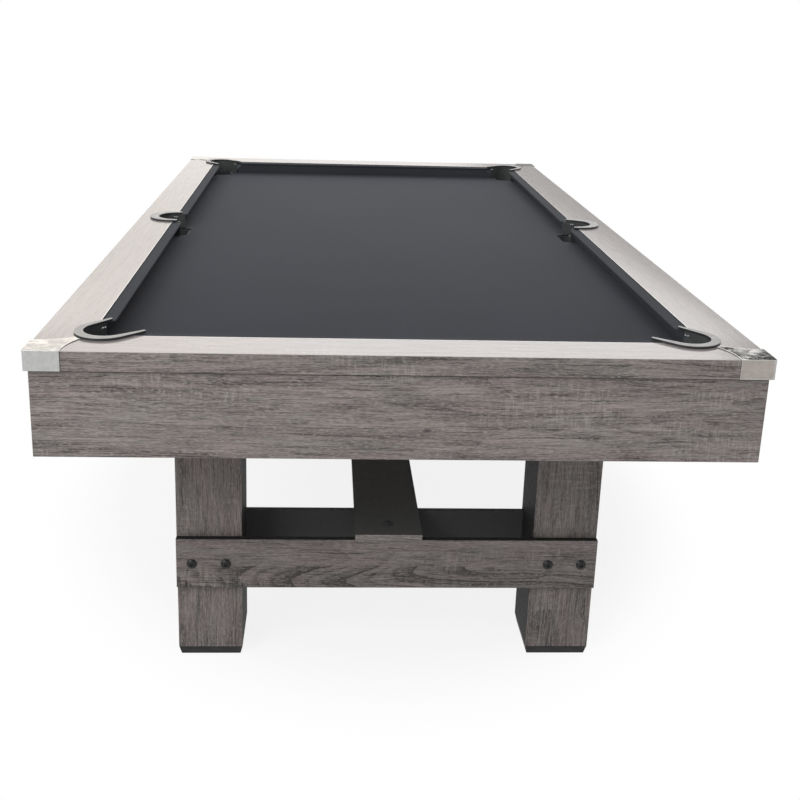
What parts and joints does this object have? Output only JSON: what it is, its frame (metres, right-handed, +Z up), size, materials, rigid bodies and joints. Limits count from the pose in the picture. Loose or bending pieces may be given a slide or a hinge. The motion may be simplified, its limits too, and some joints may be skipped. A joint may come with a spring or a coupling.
{
  "type": "pool table",
  "caption": "Pool table with cloth bed, cushioned rails, drop pockets, bright corner caps and square legs in frames joined by a low stretcher; its feet screw out to level it.",
  "frame": {"origin": "on the floor under the middle of the playing field, with the feet screwed right in", "axes": "+Z up, +Y along the length away from the end seen in the picture, +X to that view's right"},
  "size_m": [1.374, 2.492, 0.8185],
  "materials": {
    "laminate_grey": "grey-brown driftwood grain laminate, semi-gloss on the rail tops",
    "laminate_black": "plain black laminate, matt",
    "bed_cloth": "near-black worsted cloth, stretched",
    "cushion": "rubber under near-black worsted cloth",
    "cap_chrome": "polished bright plating",
    "iron_grey": "satin grey casting",
    "liner_plastic": "black moulding, fine matt grain",
    "bed_fibreboard": "bare fibreboard",
    "frame_timber": "planed softwood",
    "bolt_black": "black domed bolt heads, satin",
    "zinc_steel": "zinc-plated steel",
    "foot_plastic": "black moulded foot, matt"
  },
  "bodies": {
    "table": {"apron_cleats": "frame_timber", "base_bolts": "bolt_black", "base_nuts": "zinc_steel", "bed_board": "bed_fibreboard", "bed_cloth": "bed_cloth", "corner_cap_front_left": "cap_chrome", "corner_cap_front_right": "cap_chrome", "corner_cap_rear_left": "cap_chrome", "corner_cap_rear_right": "cap_chrome", "cushion_front_end": "cushion", "cushion_front_left": "cushion", "cushion_front_right": "cushion", "cushion_rear_end": "cushion", "cushion_rear_left": "cushion", "cushion_rear_right": "cushion", "end_apron_front": "laminate_grey", "end_apron_rear": "laminate_grey", "end_rail_front": "laminate_grey", "end_rail_rear": "laminate_grey", "foot_nuts": "zinc_steel", "frame_bolts": "zinc_steel", "frame_cross_beams": "frame_timber", "frame_side_beams": "frame_timber", "inner_beam_front": "laminate_black", "inner_beam_rear": "laminate_black", "leg_back_front_left": "laminate_black", "leg_back_front_right": "laminate_black", "leg_back_rear_left": "laminate_black", "leg_back_rear_right": "laminate_black", "leg_blocks": "frame_timber", "leg_face_front_left": "laminate_grey", "leg_face_front_right": "laminate_grey", "leg_face_rear_left": "laminate_grey", "leg_face_rear_right": "laminate_grey", "outer_beam_front": "laminate_grey", "outer_beam_rear": "laminate_grey", "pocket_iron_front_left": "iron_grey", "pocket_iron_front_right": "iron_grey", "pocket_iron_left": "iron_grey", "pocket_iron_rear_left": "iron_grey", "pocket_iron_rear_right": "iron_grey", "pocket_iron_right": "iron_grey", "pocket_liner_front_left": "liner_plastic", "pocket_liner_front_right": "liner_plastic", "pocket_liner_left": "liner_plastic", "pocket_liner_rear_left": "liner_plastic", "pocket_liner_rear_right": "liner_plastic", "pocket_liner_right": "liner_plastic", "side_apron_left": "laminate_grey", "side_apron_right": "laminate_grey", "side_rail_left": "laminate_grey", "side_rail_right": "laminate_grey", "stretcher_blocks": "laminate_black", "stretcher_board": "laminate_black", "stretcher_rib": "laminate_black"},
    "foot_front_left": {"levelling_foot_front_left": "foot_plastic"},
    "foot_front_right": {"levelling_foot_front_right": "foot_plastic"},
    "foot_rear_left": {"levelling_foot_rear_left": "foot_plastic"},
    "foot_rear_right": {"levelling_foot_rear_right": "foot_plastic"}
  },
  "joints": [
    {"name": "foot_front_left_screw_out", "type": "slide", "parent": "table", "child": "foot_front_left", "axis": [0, 0, -1], "range_m": [0, 0.02]},
    {"name": "foot_front_right_screw_out", "type": "slide", "parent": "table", "child": "foot_front_right", "axis": [0, 0, -1], "range_m": [0, 0.02]},
    {"name": "foot_rear_left_screw_out", "type": "slide", "parent": "table", "child": "foot_rear_left", "axis": [0, 0, -1], "range_m": [0, 0.02]},
    {"name": "foot_rear_right_screw_out", "type": "slide", "parent": "table", "child": "foot_rear_right", "axis": [0, 0, -1], "range_m": [0, 0.02]}
  ]
}
